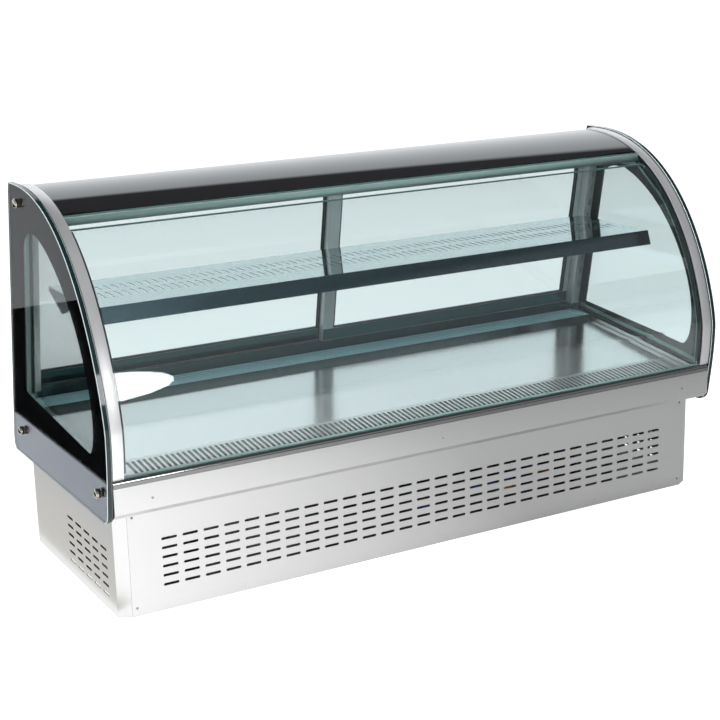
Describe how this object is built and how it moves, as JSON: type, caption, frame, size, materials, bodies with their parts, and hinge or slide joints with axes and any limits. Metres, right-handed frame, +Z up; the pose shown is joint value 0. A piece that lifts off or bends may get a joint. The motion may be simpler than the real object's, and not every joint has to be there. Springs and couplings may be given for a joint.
{
  "type": "refrigerated display showcase",
  "caption": "Long drop-in refrigerated glass display case with a curved glass front, black printed end glass, sliding rear doors, one inner shelf and a slotted machine housing.",
  "frame": {"origin": "on the floor plane under the middle of the whole cabinet", "axes": "+X along the length to the right of a person facing the curved glass, +Y to the rear doors, +Z up"},
  "size_m": [1.5236, 0.59, 0.817],
  "materials": {
    "steel": "satin brushed stainless sheet",
    "mirror_steel": "mirror polished stainless sheet",
    "galvanised": "bare zinc coated sheet",
    "insulated_steel": "foam filled sheet steel tub",
    "aluminium": "brushed anodised aluminium",
    "fin_aluminium": "mill finish fins and blades",
    "glass": "clear low tint pane with a green edge",
    "black_glass": "thick glass with a gloss black printed back",
    "spacer": "pale green spacer strip",
    "nickel": "dark polished nickel",
    "black_plastic": "fine textured black",
    "black_paint": "black enamel",
    "copper": "drawn copper",
    "blue_wire": "blue cable sheath",
    "orange_wire": "orange cable sheath",
    "lamp": "opal lamp cover",
    "red_rocker": "red rocker"
  },
  "bodies": {
    "cabinet": {"back_panel": "steel", "base_pan": "galvanised", "bolt_left_1": "nickel", "bolt_left_2": "nickel", "bolt_left_3": "nickel", "bolt_right_1": "nickel", "bolt_right_2": "nickel", "bolt_right_3": "nickel", "cable_gland": "black_plastic", "compressor": "black_paint", "condenser_coil": "fin_aluminium", "condenser_fan_motor": "black_paint", "control_panel": "black_plastic", "corner_post_left": "steel", "corner_post_right": "steel", "curved_trim_left": "aluminium", "curved_trim_right": "aluminium", "discharge_grille": "steel", "discharge_pipe": "copper", "electrical_box": "galvanised", "end_glass_left": "black_glass", "end_glass_right": "black_glass", "end_rail_left": "steel", "end_rail_right": "steel", "evaporator_coil": "fin_aluminium", "evaporator_fan_motor": "black_plastic", "fan_shroud": "galvanised", "filter_drier": "copper", "front_fascia": "steel", "front_glass": "glass", "front_glass_inner": "glass", "inner_pane_left": "glass", "inner_pane_right": "glass", "insulated_tub": "insulated_steel", "liquid_pipe": "copper", "louvre_panel": "steel", "pane_spacer_left": "spacer", "pane_spacer_right": "spacer", "rear_sill": "steel", "return_grille": "steel", "shelf_bracket_left": "steel", "shelf_bracket_right": "steel", "side_panel_left": "steel", "side_panel_right": "steel", "suction_pipe": "copper", "top_cover": "black_glass", "top_header": "aluminium", "top_lamp": "lamp", "wire_blue": "blue_wire", "wire_orange": "orange_wire"},
    "door_left": {"door_left_frame": "aluminium", "door_left_glass": "glass"},
    "door_right": {"door_right_frame": "aluminium", "door_right_glass": "glass"},
    "condenser_fan": {"condenser_fan_blade": "fin_aluminium"},
    "evaporator_fan": {"evaporator_fan_blade": "black_plastic"},
    "power_rocker": {"power_switch": "red_rocker"},
    "light_rocker": {"light_switch": "black_plastic"},
    "shelf": {"shelf": "mirror_steel"},
    "deck": {"deck_plate": "steel"}
  },
  "joints": [
    {"name": "door_left_slide", "type": "slide", "parent": "cabinet", "child": "door_left", "axis": [1, 0, 0], "range_m": [0, 0.69]},
    {"name": "door_right_slide", "type": "slide", "parent": "cabinet", "child": "door_right", "axis": [-1, 0, 0], "range_m": [0, 0.69]},
    {"name": "condenser_fan_spin", "type": "hinge", "parent": "cabinet", "child": "condenser_fan", "pos_m": [-0.47, 0, 0.106], "axis": [1, 0, 0], "continuous": true},
    {"name": "evaporator_fan_spin", "type": "hinge", "parent": "cabinet", "child": "evaporator_fan", "pos_m": [0, -0.06, 0.2725], "axis": [0, 0, 1], "continuous": true},
    {"name": "power_rocker_tilt", "type": "hinge", "parent": "cabinet", "child": "power_rocker", "pos_m": [0.47, 0.2588, 0.112], "axis": [1, 0, 0], "range_deg": [0, 12]},
    {"name": "light_rocker_tilt", "type": "hinge", "parent": "cabinet", "child": "light_rocker", "pos_m": [0.51, 0.2588, 0.112], "axis": [1, 0, 0], "range_deg": [0, 12]},
    {"name": "shelf_lift", "type": "slide", "parent": "cabinet", "child": "shelf", "axis": [0, 0, 1], "range_m": [0, 0.03]},
    {"name": "deck_lift", "type": "slide", "parent": "cabinet", "child": "deck", "axis": [0, 0, 1], "range_m": [0, 0.05]}
  ]
}
